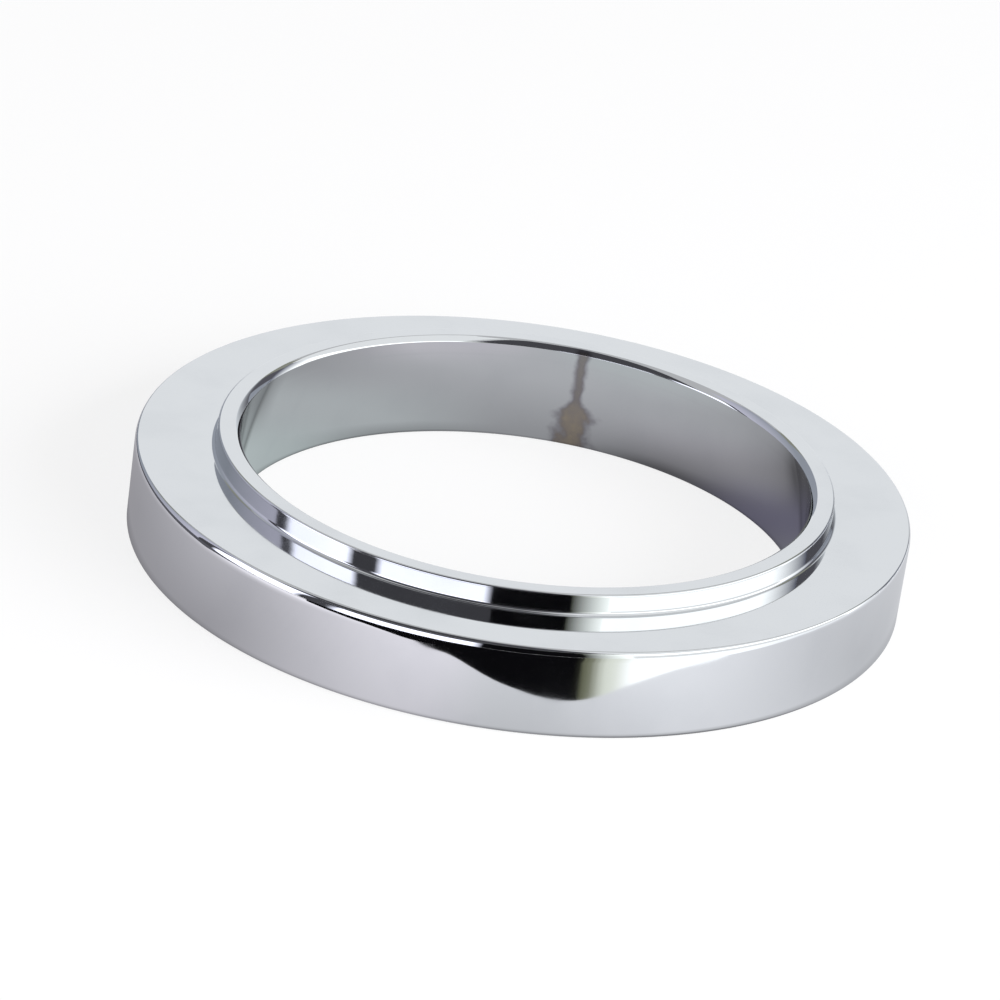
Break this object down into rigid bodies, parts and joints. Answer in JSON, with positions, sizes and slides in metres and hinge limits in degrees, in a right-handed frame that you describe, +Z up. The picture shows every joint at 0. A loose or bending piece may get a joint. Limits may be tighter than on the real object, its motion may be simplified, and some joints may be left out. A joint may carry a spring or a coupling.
{
  "type": "tap escutcheon",
  "caption": "Round tap escutcheon in polished chrome: a flat-topped flange ring with a low locating collar and a plain bore through both.",
  "frame": {"origin": "centre of the underside, on the ring's axis", "axes": "+Z up along the ring's axis, from the underside to the collar; the ring is round, so X and Y are free"},
  "size_m": [0.0544, 0.0544, 0.0077],
  "materials": {
    "polished_chrome": "polished chrome plate"
  },
  "bodies": {
    "root": {"escutcheon_ring": "polished_chrome"}
  },
  "joints": []
}
